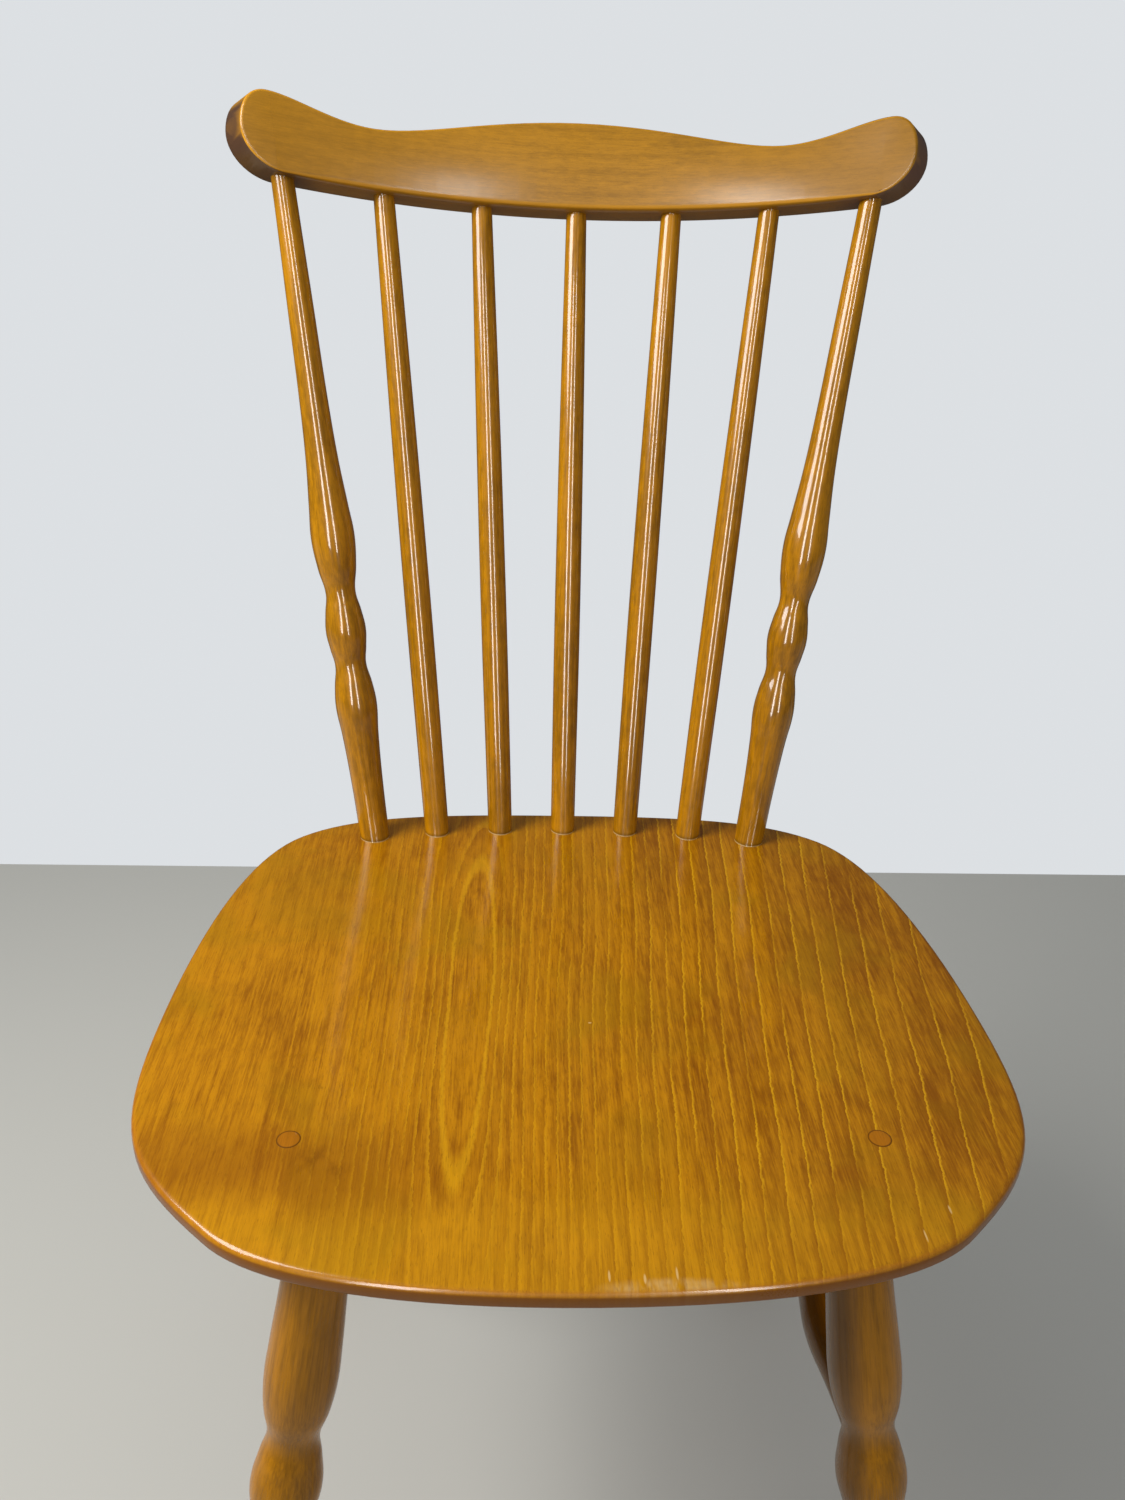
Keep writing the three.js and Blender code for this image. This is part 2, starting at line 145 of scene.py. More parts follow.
class BackSettings(bpy.types.PropertyGroup):
    rake: bpy.props.FloatProperty(
        name="Rake", description="Backward lean of the rail", default=math.radians(15.86),
        unit="ROTATION")
    row_inset: length("Row inset", "From the seat's back edge to the middle spindle", 21.8 * MM)
    spindle: length("Spindle", "Length of the middle spindle between seat and rail", 396 * MM)
    bend: length("Bend", "Radius of the rail's bend", 420 * MM)
    thickness: length("Thickness", "Thickness of the rail", 23 * MM)
    hump: length("Hump", "Height of the rail at its middle", 50.6 * MM)
    waist: length("Waist", "Height of the rail at its dips", 36 * MM)
    ear: length("Ear", "Height of the rail at its ears", 46.4 * MM)
    arris: length("Arris", "Rounding of the rail's edges", 1.6 * MM)
    lower_arris: length("Lower arris", "Rounding of its lower front edge", 4.5 * MM)
    seat_socket: length("Seat socket", "Depth of the spindles in the seat", 14 * MM)
    rail_socket: length("Rail socket", "Depth of the spindles in the rail", 16 * MM)
    spindle_tip: length("Spindle tip", "Radius of a spindle's top end", 6.4 * MM)
    post_tip: length("Post tip", "Radius of a post's top end", 6.7 * MM)
    rail_wood: colour("Rail wood", "Colour of the rail's wood", (0.46, 0.208, 0.009))
    rail_end: colour("Rail end", "Colour of the rail's end grain", (0.07, 0.034, 0.022))
    turned_wood: colour("Turned wood", "Colour of the spindles and posts", (0.46, 0.192, 0.001))


class LegSettings(bpy.types.PropertyGroup):
    socket: length("Leg socket", "Depth of a leg in the seat", 16 * MM)
    foot: length("Foot", "Radius of a foot", 10.4 * MM)
    stretcher_end: length("Stretcher end", "Radius of a side stretcher's ends", 7.4 * MM)
    stretcher_swell: length("Stretcher swelling", "Radius of its two swellings", 14 * MM)
    stretcher_waist: length("Stretcher waist", "Radius beside its middle ball", 9.3 * MM)
    stretcher_ball: length("Stretcher ball", "Radius of its middle ball", 14.5 * MM)
    cross_end: length("Cross end", "Radius of the cross stretcher's ends", 6.8 * MM)
    cross_swell: length("Cross swelling", "Radius of the cross stretcher's middle", 12.8 * MM)
    wood: colour("Leg wood", "Colour of the legs and stretchers", (0.40, 0.158, 0.001))


class StageSettings(bpy.types.PropertyGroup):
    floor: colour("Floor", "Colour of the floor", (0.62, 0.61, 0.56))
    wall: colour("Wall", "Colour around the chair", (0.72, 0.745, 0.77))
    fill: amount("Fill", "Strength of the light from all round", 0.55, 5)
    mirrored: amount("Mirrored", "Strength of that light where it is mirrored", 0.06, 5)
    lens: bpy.props.FloatProperty(
        name="Lens", description="Focal length on a 36 mm sensor", default=27.96, unit="CAMERA")
    camera_place: bpy.props.FloatVectorProperty(
        name="Camera place", description="Where the camera stands", size=3, precision=4,
        default=(-0.0403, -0.5564, 0.8272), subtype="TRANSLATION")
    camera_turn: bpy.props.FloatVectorProperty(
        name="Camera turn", description="The camera's tilt, roll and heading", size=3,
        default=[math.radians(angle) for angle in (65.5839, -1.96, -2.2423)], subtype="EULER")


# ---------- modelling ----------

def set_mode(mode):
    bpy.ops.object.mode_set(mode=mode)


def deselect_objects():
    if bpy.context.object and bpy.context.object.mode != "OBJECT":
        set_mode("OBJECT")
    bpy.ops.object.select_all(action="DESELECT")


def select_only(piece):
    deselect_objects()
    piece.select_set(True)
    bpy.context.view_layer.objects.active = piece


def draw_outline(name, points):
    """A closed curve through points, each (place, handle before it, handle after it)."""
    deselect_objects()
    bpy.ops.curve.primitive_bezier_circle_add()
    piece = bpy.context.object
    piece.name = piece.data.name = name
    piece.data.dimensions = "3D"
    spline = piece.data.splines[0]
    spline.bezier_points.add(len(points) - len(spline.bezier_points))
    for knot, (place, before, after) in zip(spline.bezier_points, points):
        knot.handle_left_type = knot.handle_right_type = "FREE"
        knot.co, knot.handle_left, knot.handle_right = place, before, after
    return piece


def mesh_from_curve(piece, steps):
    piece.data.resolution_u = steps
    bpy.ops.object.convert(target="MESH")
    set_mode("EDIT")
    bpy.ops.mesh.select_mode(type="VERT")
    bpy.ops.mesh.select_all(action="SELECT")
    bpy.ops.mesh.remove_doubles(threshold=SAME)


def mirrored(half):
    """The points of a closed outline from its right half's, which start and end in the middle."""
    def flip(point):
        return Vector((-point[0], point[1], point[2]))
    left = [tuple(map(flip, (place, after, before))) for place, before, after in half[-2:0:-1]]
    return half + left


def select_point(place):
    """Selects the active mesh's vertex that is closest to a place."""
    piece = bpy.context.object
    set_mode("OBJECT")
    data = piece.data
    distances = [(vertex.co - place).length for vertex in data.vertices]
    nearest = distances.index(min(distances))
    for group in (data.vertices, data.edges, data.polygons):
        group.foreach_set("select", [False] * len(group))
    data.vertices[nearest].select = True
    set_mode("EDIT")
    bpy.ops.mesh.select_mode(type="VERT")


def keep_grain(piece, places):
    """Stores where each vertex lies in its own piece of wood."""
    layer = piece.data.attributes.new(GRAIN, "FLOAT_VECTOR", "POINT")
    layer.data.foreach_set("vector", [number for place in places for number in place])


def finish_piece(piece, name, node, material, angle=math.radians(35)):
    """Names a piece, brings it to the origin, smooths and paints it, hides the CAD node it replaces, and
    attaches it to the chair's body.
    """
    piece.name = piece.data.name = name
    select_only(piece)
    bpy.ops.object.transform_apply(location=True, rotation=True, scale=True)
    bpy.ops.object.shade_smooth_by_angle(angle=angle)
    piece.data.materials.clear()
    piece.data.materials.append(material)
    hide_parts(node)
    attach(piece, BODY)
    return piece


def end_centre(points, direction):
    """The middle of the end face that a turned piece has in a direction."""
    reach = (points @ direction).max()
    last = points[points @ direction > reach - 0.4 * MM]
    return np.unique(last.round(7), axis=0).mean(axis=0)


def axis_of(node, on_floor=False):
    """The two ends of a turned CAD node's axis, as the lower, front or left one and the other."""
    points = np.array([vertex.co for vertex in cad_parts[node].data.vertices])
    direction = np.linalg.svd(points - points.mean(axis=0), full_matrices=False)[2][0]
    direction *= np.sign(direction[np.abs(direction).argmax()])
    for _ in range(5):
        start, end = end_centre(points, -direction), end_centre(points, direction)
        if on_floor:
            foot = points[points[:, 2] < 0.05 * MM]
            start = (foot.min(axis=0) + foot.max(axis=0)) / 2
        direction = (end - start) / np.linalg.norm(end - start)
    return Vector(start), Vector(end)


def turn(name, outline, steps=7, sides=48):
    """A turned piece that stands on the Z axis, from (height, radius) pairs in metres."""
    deselect_objects()
    bpy.ops.curve.primitive_bezier_curve_add()
    piece = bpy.context.object
    piece.name = piece.data.name = name
    spline = piece.data.splines[0]
    spline.bezier_points.add(len(outline) - len(spline.bezier_points))
    for knot, (height, radius) in zip(spline.bezier_points, outline):
        knot.handle_left_type = knot.handle_right_type = "AUTO"
        knot.co = (radius, 0, height)
    mesh_from_curve(piece, steps)
    bpy.ops.mesh.spin(steps=sides, angle=math.tau, center=(0, 0, 0), axis=(0, 0, 1))
    bpy.ops.mesh.select_all(action="SELECT")
    bpy.ops.mesh.remove_doubles(threshold=SAME)
    bpy.ops.mesh.fill_holes(sides=0)
    bpy.ops.mesh.select_all(action="SELECT")
    bpy.ops.mesh.normals_make_consistent(inside=False)
    set_mode("OBJECT")
    return piece


def copy_of(piece):
    select_only(piece)
    bpy.ops.object.duplicate(linked=False)
    return bpy.context.object


def lay_along(piece, start, end, own_length, number):
    """Lays a turned piece from start to end, stretched to that length, with its own grain."""
    spin = Matrix.Rotation(OWN_TURN * number, 3, "Z")
    keep_grain(piece, [spin @ vertex.co + OWN_SHIFT * number for vertex in piece.data.vertices])
    line = end - start
    stretch = Matrix.Diagonal((1, 1, line.length / own_length, 1))
    turned_to = line.to_track_quat("Z", "Y").to_matrix().to_4x4()
    piece.matrix_world = Matrix.Translation(start) @ turned_to @ stretch


# ---------- shader values ----------

class Value:
    """A number in a material, that sums can be written with."""

    def __init__(self, finish, socket):
        self.finish, self.socket = finish, socket

    def _sum(self, operation, first, second):
        made = self.finish.node("ShaderNodeMath", {"operation": operation}, {0: first, 1: second})
        return Value(self.finish, made.outputs[0])

    def __add__(self, other):
        return self._sum("ADD", self, other)

    def __sub__(self, other):
        return self._sum("SUBTRACT", self, other)

    def __rsub__(self, other):
        return self._sum("SUBTRACT", other, self)

    def __mul__(self, other):
        return self._sum("MULTIPLY", self, other)

    def __truediv__(self, other):
        return self._sum("DIVIDE", self, other)

    def __pow__(self, other):
        return self._sum("POWER", self, other)

    def __mod__(self, other):
        return self._sum("FLOORED_MODULO", self, other)

    __radd__, __rmul__ = __add__, __mul__

    def log(self):
        return self._sum("LOGARITHM", self, math.e)

    def larger(self, other):
        return self._sum("MAXIMUM", self, other)


class Finish:
    """A material whose nodes are made through node()."""

    def __init__(self, name):
        self.material = bpy.data.materials.new(name)
        self.material.use_nodes = True
        self.tree = self.material.node_tree
        self.tree.nodes.clear()

    def node(self, kind, settings=None, inputs=None):
        made = self.tree.nodes.new(kind)
        for key, setting in (settings or {}).items():
            setattr(made, key, setting)
        for key, given in (inputs or {}).items():
            if isinstance(given, Value):
                self.tree.links.new(given.socket, made.inputs[key])
            else:
                made.inputs[key].default_value = given
        return made

    def value(self, kind, settings=None, inputs=None, output=0):
        return Value(self, self.node(kind, settings, inputs).outputs[output])

    def place(self, attribute=None):
        """A piece's own coordinates: those stored as an attribute, or the object's."""
        if attribute:
            return self.value("ShaderNodeAttribute", {"attribute_name": attribute}, output=1)
        return self.value("ShaderNodeTexCoord", output=3)

    def parts(self, vector):
        made = self.node("ShaderNodeSeparateXYZ", inputs={0: vector})
        return [Value(self, socket) for socket in made.outputs]

    def vector(self, x, y, z):
        return self.value("ShaderNodeCombineXYZ", inputs={0: x, 1: y, 2: z})

    def scaled(self, vector, factors):
        return self.value("ShaderNodeVectorMath", {"operation": "MULTIPLY"}, {0: vector, 1: factors})

    def noise(self, vector, detail=2.0, roughness=0.5, distortion=0.0):
        return self.value("ShaderNodeTexNoise", inputs={
            "Vector": vector, "Scale": 1.0, "Detail": detail, "Roughness": roughness,
            "Distortion": distortion})

    def smooth(self, value, low, high):
        """0 below low and 1 above high, or the other way round when high is the smaller."""
        start, end, first, last = (low, high, 0.0, 1.0) if low < high else (high, low, 1.0, 0.0)
        return self.value("ShaderNodeMapRange", {"interpolation_type": "SMOOTHSTEP"}, {
            "Value": value, "From Min": start, "From Max": end, "To Min": first, "To Max": last})

    def mix(self, share, first, second, blend="MIX"):
        def opaque(given):
            return given if isinstance(given, Value) else (*given, 1.0)
        return self.value("ShaderNodeMix", {"data_type": "RGBA", "blend_type": blend}, {
            0: share, 6: opaque(first), 7: opaque(second)}, output=2)

    def bump(self, height, strength, distance):
        return self.value("ShaderNodeBump", inputs={
            "Height": height, "Strength": strength, "Distance": distance})

    def varnish(self, colour_value, roughness, normal, coat=0.8, coat_roughness=0.1):
        shader = self.value("ShaderNodeBsdfPrincipled", inputs={
            "Base Color": colour_value, "Roughness": roughness, "Normal": normal, "IOR": 1.5,
            "Specular IOR Level": 0.2, "Coat Weight": coat, "Coat Roughness": coat_roughness})
        self.node("ShaderNodeOutputMaterial", inputs={0: shader})
        return self.material

    def size_of(self, value):
        return self.value("ShaderNodeMath", {"operation": "ABSOLUTE"}, {0: value})

    def facing(self):
        """The surface's own direction, as its three parts."""
        return self.parts(self.value("ShaderNodeNewGeometry", output=1))


def scale_colour(base, factor):
    return tuple(min(1.0, part * factor) for part in base)


# ---------- beech ----------

def beech_fibres(finish, across, depth, along, stretch=1.0):
    """Fine streaks along the grain, short dark flecks, and broad soft patches, each 0 to 1."""
    def pattern(repeats, detail, roughness, distortion=0.0, longer=1.0):
        sideways, lengthwise = repeats[0], repeats[1] / longer
        place = finish.vector(across * sideways, depth * sideways, along * lengthwise)
        return finish.noise(place, detail, roughness, distortion)
    fine = pattern(FINE, 4.0, 0.65, longer=stretch)
    flecks = pattern(FLECKS, 1.0, 0.5, longer=stretch)
    streaks = pattern(STREAKS, 3.0, 0.6)
    patches = pattern(PATCHES, 4.0, 0.6, 0.5)
    return fine, finish.smooth(flecks, 0.6, 0.76), patches + (streaks - 0.5) * 0.9


def varnish_surface(finish, place, fine, base_roughness, waves=0.12):
    """Roughness and normal of thin varnish over open grain."""
    film = finish.noise(finish.scaled(place, (160, 160, 160)), 2.0, 0.5)
    cloud = finish.noise(finish.scaled(place, (34, 34, 34)), 3.0, 0.6)
    roughness = base_roughness + (cloud - 0.5) * 0.12 + (fine - 0.5) * 0.08
    return roughness, finish.bump(film * 0.7 + fine * 0.3, waves, 0.0006)


def mark(finish, x, y, centre, half_size):
    """1 at a small oval's middle, 0 outside it."""
    out = (((x - centre[0]) / half_size[0]) ** 2.0 + ((y - centre[1]) / half_size[1]) ** 2.0) ** 0.5
    return finish.smooth(out, 1.0, 0.45)


def growth_lines(finish, x, y):
    """Pale lines along growth rings, the darker wood before each, and streaks that follow them.

    The lines run past the island and fan out towards the back.
    """
    sway = finish.noise(finish.vector(x * 9, y * 6, 0.0), 2.0, 0.5) - 0.5
    jitter = finish.noise(finish.vector(x * 150, y * 210, 0.0), 3.0, 0.7) - 0.5
    fan = y * 0.61 + 1.04
    from_middle = y - ISLAND_MIDDLE.y
    beside = (x - ISLAND_MIDDLE.x - from_middle * 0.02 + sway * 0.008) / fan + jitter * 0.0028
    far = finish.size_of(beside) / ISLAND_HALF_WIDTH
    ahead = from_middle / ISLAND_HALF_LENGTH
    # How far out from the island's middle, where its own outline is 1.
    reach = (far ** 2.0 + ahead ** 2.0 * finish.smooth(far, 2.7, 0.6)) ** 0.5
    spread = reach * WIDENING + (1 - WIDENING)
    rings = spread.log() * RING_RATE
    phase = rings % 1.0
    past_ring = phase * spread * RING_GAP
    before_ring = (1.0 - phase) * spread * RING_GAP
    line = finish.smooth(past_ring, LINE_WIDTH, 0.3) * finish.smooth(reach, 0.9, 0.97)
    shade = finish.smooth(before_ring, 4.0, 0.0) * finish.smooth(reach, 1.0, 1.2)
    # The lines fade to the left and towards the front, and there are none ahead of the island.
    fading = finish.noise(finish.vector(rings * 1.3, y * 14, 0.0), 4.0, 0.65)
    to_right = finish.smooth(x, -0.17, -0.045) * 0.4 + finish.smooth(x, 0.0, 0.09) * 0.5 + 0.1
    to_back = finish.smooth(y, -0.22, -0.16) * 0.6 + 0.4
    strength = to_right * finish.smooth(fading, 0.33, 0.56) * to_back
    open_wood = 1.0 - finish.smooth(ahead, -1.12, -1.25) * finish.smooth(far, 1.6, 0.9)
    island = finish.smooth(finish.size_of(reach - 1.03), 0.12, 0.02)
    streaks = finish.noise(finish.vector(rings * 3.1, y * 7, x * 30), 4.0, 0.6)
    line = (line * strength * open_wood).larger(island * 0.6)
    return line, shade * to_right * open_wood, streaks


def seat_wood(settings):
    finish = Finish("seat_beech")
    place = finish.place()
    x, y, z = finish.parts(place)
    fine, flecks, patches = beech_fibres(finish, x, z, y)
    line, shade, streaks = growth_lines(finish, x, y)
    clouds = finish.noise(finish.vector(x * 11, y * 13, 0.0), 3.0, 0.6, 0.6)
    mottle = finish.noise(finish.vector(x * 150, y * 60, 0.0), 3.0, 0.65)
    body = (fine - 0.5) * 1.4 + (patches - 0.5) * 1.1 + (mottle - 0.5) * 0.7 + (streaks - 0.5)
    # Painted shade: the wood is made darker towards the right side.
    body = body + finish.smooth(x, 0.0, 0.17) * 0.2 + 0.38
    tone = finish.mix(finish.smooth(body, 0.0, 1.0), settings.wood, settings.deep)
    tone = finish.mix(finish.smooth(clouds, 0.45, 0.68) * 0.5, tone, settings.olive)
    # A paler band along the front edge, and behind its left half a darker band of painted reflection.
    depth = y + (clouds - 0.5) * 0.05
    front = finish.smooth(depth, -0.17, -0.205)
    behind = finish.smooth(depth, -0.13, -0.165) * (1.0 - front) * finish.smooth(x, -0.03, -0.11)
    tone = finish.mix(front * 0.2, tone, settings.pale)
    # Painted reflection: a darker band behind the left half of the front band.
    tone = finish.mix(behind * 0.5, tone, settings.deep)
    tone = finish.mix(shade * 0.55, tone, settings.deep)
    tone = finish.mix(line * 0.72, tone, settings.pale)
    tone = finish.mix(flecks * 0.4, tone, scale_colour(settings.deep, 0.55))
    smudge = mark(finish, x, y, *SMUDGE) * finish.smooth(mottle, 0.4, 0.7)
    tone = finish.mix(smudge * 0.6, tone, scale_colour(settings.deep, 0.7))
    worn = mark(finish, x, y, *RUBBED) * finish.smooth(mottle, 0.35, 0.65) * 0.45
    for chip in CHIPS:
        worn = worn.larger(mark(finish, x, y, *chip) * 0.7)
    tone = finish.mix(worn, tone, BARE_WOOD)
    # The rounded edge is worn orange, and below it painted shade darkens the upright band and the
    # underside.
    upright = finish.facing()[2]
    tone = finish.mix(finish.smooth(upright, 0.995, 0.8) * 0.4, tone, settings.edge)
    tone = finish.mix(finish.smooth(upright, 0.5, 0.15) * 0.85, tone, settings.rim_shade_colour)
    roughness, normal = varnish_surface(finish, place, fine, 0.3)
    coat = finish.smooth(upright, 0.1, 0.6) * 0.65 + 0.1
    return finish.varnish(tone, roughness, normal, coat, coat_roughness=0.14)


def long_grain_wood(name, base, along_axis=2, stretch=1.0, contrast=1.0, blotch=1.2):
    """Wood of a piece that stores its own place, with its grain along one of the three axes."""
    finish = Finish(name)
    place = finish.place(GRAIN)
    parts = finish.parts(place)
    along = parts.pop(along_axis)
    across, depth = parts
    fine, flecks, patches = beech_fibres(finish, across, depth, along, stretch)
    deep, pale = scale_colour(base, 0.62), scale_colour(base, 1.2)
    blotches_per_metre = [90 if axis == along_axis else 260 for axis in range(3)]
    mottle = finish.noise(finish.scaled(place, blotches_per_metre), 4.0, 0.65)
    body = (fine - 0.5) * 1.3 + (patches - 0.5) * 1.3 + (mottle - 0.5) * blotch
    body = body * contrast + 0.45
    tone = finish.mix(finish.smooth(body, 0.0, 1.0), pale, deep)
    tone = finish.mix(flecks * 0.35, tone, scale_colour(base, 0.45))
    return finish, place, tone, fine


def rail_wood(base, end_colour):
    """Even wood with short flecks and dark end grain; painted light makes the left half and the right
    end paler, painted shade darkens the right half and the underside, and painted highlights run along
    the lower edge and the upper front arrises.
    """
    finish, place, tone, fine = long_grain_wood("rail_beech", base, 0, stretch=0.35, contrast=0.6)
    _, deep, upright = finish.facing()
    forward = finish.size_of(upright * 0.27 - deep * 0.96)  # 1 on the leaning front and back faces
    x = finish.parts(finish.place())[0]
    # Painted light makes the left half paler, and painted shade makes the right half darker.
    tone = finish.mix(finish.smooth(x, -0.02, -0.19) * 0.3, tone, scale_colour(base, 1.6))
    tone = finish.mix(finish.smooth(x, 0.02, 0.19) * 0.4, tone, scale_colour(base, 0.55))
    # The dark end grain, with painted light making the right end paler, and painted shade on the
    # underside.
    end = finish.smooth(forward, 0.72, 0.55) * finish.smooth(finish.size_of(x), 0.15, 0.172)
    end = end * finish.smooth(upright, 0.75, 0.45)
    end_tone_with_painted_light = finish.mix(finish.smooth(x, 0.0, 0.1), end_colour, scale_colour(end_colour, 2.4))
    tone = finish.mix(end * 0.95, tone, end_tone_with_painted_light)
    # Painted shade: the underside is made darker.
    tone = finish.mix(finish.smooth(upright, -0.35, -0.8) * 0.6, tone, scale_colour(base, 0.4))
    # Painted highlights: paler wood along the lower edge and thin pale lines along the upper front
    # arrises.
    painted_lower_highlight = finish.smooth(upright, 0.1, -0.15) * finish.smooth(upright, -0.55, -0.3)
    tone = finish.mix(painted_lower_highlight * (1.0 - end) * 0.55, tone, scale_colour(base, 1.9))
    # Painted highlight: thin pale lines along the upper front arrises.
    arris = finish.smooth(forward, 0.9, 0.82) * finish.smooth(forward, 0.68, 0.76)
    arris = arris * finish.smooth(deep, 0.0, -0.3) * finish.smooth(upright, 0.2, 0.4)
    tone = finish.mix(arris * 0.5, tone, scale_colour(base, 2.0))
    rough, normal = varnish_surface(finish, place, fine, 0.34, waves=0.08)
    return finish.varnish(tone, rough, normal, coat=0.6, coat_roughness=0.2)


def back_wood(base):
    """Glossy wood of the spindles and posts, with old glue and darker wood just above where they stand
    on the seat.
    """
    finish, place, tone, fine = long_grain_wood("turned_beech", base)
    z = finish.parts(finish.place())[2]
    # The wood turns darker over the last 3 mm above the seat.
    darker_near_seat = finish.smooth(z, SEAT_TOP + 3 * MM, SEAT_TOP + 0.8 * MM)
    tone = finish.mix(darker_near_seat * 0.65, tone, scale_colour(base, 0.35))
    glue = finish.smooth(z, SEAT_TOP + 0.7 * MM, SEAT_TOP + 0.4 * MM)
    tone = finish.mix(glue * 0.8, tone, GLUE)
    rough, normal = varnish_surface(finish, place, fine, 0.26, waves=0.045)
    return finish.varnish(tone, rough, normal, coat=1.0, coat_roughness=0.07)


def leg_wood(base):
    """Duller wood of the legs and stretchers, with painted shade on the inner side of the right-hand
    ones.
    """
    finish, place, tone, fine = long_grain_wood("leg_beech", base, stretch=2.5, blotch=0.3)
    x = finish.parts(finish.place())[0]
    # Painted shade on the inner side of the right-hand legs and stretchers.
    painted_inner_shade = finish.smooth(finish.facing()[0], -0.05, -0.75) * finish.smooth(x, 0.0, 0.05)
    tone = finish.mix(painted_inner_shade * 0.75, tone, scale_colour(base, 0.16))
    rough, normal = varnish_surface(finish, place, fine, 0.26, waves=0.045)
    return finish.varnish(tone, rough, normal, coat=0.15, coat_roughness=0.07)


def ready(name, make):
    """The material of that name, made on first use."""
    return bpy.data.materials.get(name) or make()


def turned_finish():
    base = tuple(bpy.context.scene.chair_back.turned_wood)
    return ready("turned_beech", lambda: back_wood(base))


def leg_finish():
    base = tuple(bpy.context.scene.chair_legs.wood)
    return ready("leg_beech", lambda: leg_wood(base))


# ---------- operators ----------

class CHAIR_OT_seat(bpy.types.Operator):
    """Draws the seat's outline, fills its top ring by ring, hollows it, and closes the underside"""
    bl_idname = "chair.seat"
    bl_label = "Seat"

    def execute(self, context):
        settings = context.scene.chair_seat
        half, front, back = SEAT_HIGH.x, SEAT_LOW.y, SEAT_HIGH.y
        widest = front + 167 * MM
        shoulder = SEAT_TOP - settings.edge_round

        def at(x, y):
            return Vector((x, y, shoulder))
        front_corner = (half - 53 * MM, front + 33 * MM)
        back_corner = (half - 40 * MM, back - 34 * MM)
        half_outline = [
            (at(0, front), at(-92 * MM, front), at(92 * MM, front)),
            (at(*front_corner), at(half - 73 * MM, front + 14 * MM),
             at(half - 11 * MM, front + 70 * MM)),
            (at(half, widest), at(half, widest - 76 * MM), at(half, widest + 86 * MM)),
            (at(*back_corner), at(half - 11 * MM, back - 61 * MM), at(half - 72 * MM, back - 4 * MM)),
            (at(0, back), at(88 * MM, back), at(-88 * MM, back)),
        ]
        piece = draw_outline("seat_board", mirrored(half_outline))
        mesh_from_curve(piece, 18)
        self.half_size = Vector((half, (back - front) / 2, 1))
        self.inset = 0.0

        edge = settings.edge_round
        steps = 6
        for step in range(1, steps + 1):
            angle = step / steps * math.pi / 2
            before = edge * math.sin((step - 1) / steps * math.pi / 2)
            self.ring(edge * (1 - math.cos(angle)), edge * math.sin(angle) - before)
        for share in TOP_RINGS:
            self.ring(edge + share * (half - edge), 0)
        bpy.ops.mesh.merge(type="CENTER")
        self.hollow(settings)

        # From the rim down: its rounded lower corner, the sloping underside, and the flat middle.
        bpy.ops.mesh.select_all(action="DESELECT")
        bpy.ops.mesh.select_non_manifold()
        self.inset = 0.0
        corner, corner_inset = 1.2 * MM, 1.3 * MM
        self.ring(0, -(settings.rim - edge - corner))
        self.ring(0.35 * MM, -corner * 0.7)
        self.ring(corner_inset, -corner * 0.9)
        drop = SEAT_TOP - SEAT_LOW.z - settings.rim - corner * 0.6
        for share, lower in ((0.33, 0.33), (0.66, 0.33), (0.93, 0.27)):
            self.ring(corner_inset + share * (settings.drawn_in - corner_inset), -drop * lower)
        self.ring(settings.drawn_in + 1 * MM, -drop * 0.07)
        for share in (0.2, 0.4, 0.6, 0.8, 0.95):
            self.ring(settings.drawn_in + share * (half - settings.drawn_in), 0)
        bpy.ops.mesh.merge(type="CENTER")
        bpy.ops.mesh.select_all(action="SELECT")
        bpy.ops.mesh.normals_make_consistent(inside=False)
        wood = ready("seat_beech", lambda: seat_wood(settings))
        finish_piece(piece, "seat_board", "seat", wood, math.radians(50))
        return {"FINISHED"}

    def ring(self, inset, rise):
        """Extrudes the selected loop to a new inset from the outline, and up or down."""
        bpy.ops.mesh.extrude_region_move(TRANSFORM_OT_translate={"value": (0, 0, rise)})
        size = self.half_size
        factors = [(size[i] - inset) / (size[i] - self.inset) for i in range(2)]
        bpy.ops.transform.resize(value=(*factors, 1), center_override=(0, SEAT_MIDDLE_Y, 0))
        self.inset = inset

    def hollow(self, settings):
        """Pulls the middle down, with the seat stretched meanwhile so that the hollow ends up oval."""
        middle = Vector((0, SEAT_LOW.y + settings.dish_from_front, SEAT_TOP))
        flatten = settings.dish_half_width / settings.dish_half_depth
        bpy.ops.mesh.select_all(action="SELECT")
        bpy.ops.transform.resize(value=(1, flatten, 1), center_override=middle)
        select_point(middle)
        bpy.ops.transform.translate(
            value=(0, 0, -settings.dish), use_proportional_edit=True, use_proportional_connected=False,
            proportional_edit_falloff="SMOOTH", proportional_size=settings.dish_half_width)
        bpy.ops.mesh.select_all(action="SELECT")
        bpy.ops.transform.resize(value=(1, 1 / flatten, 1), center_override=middle)


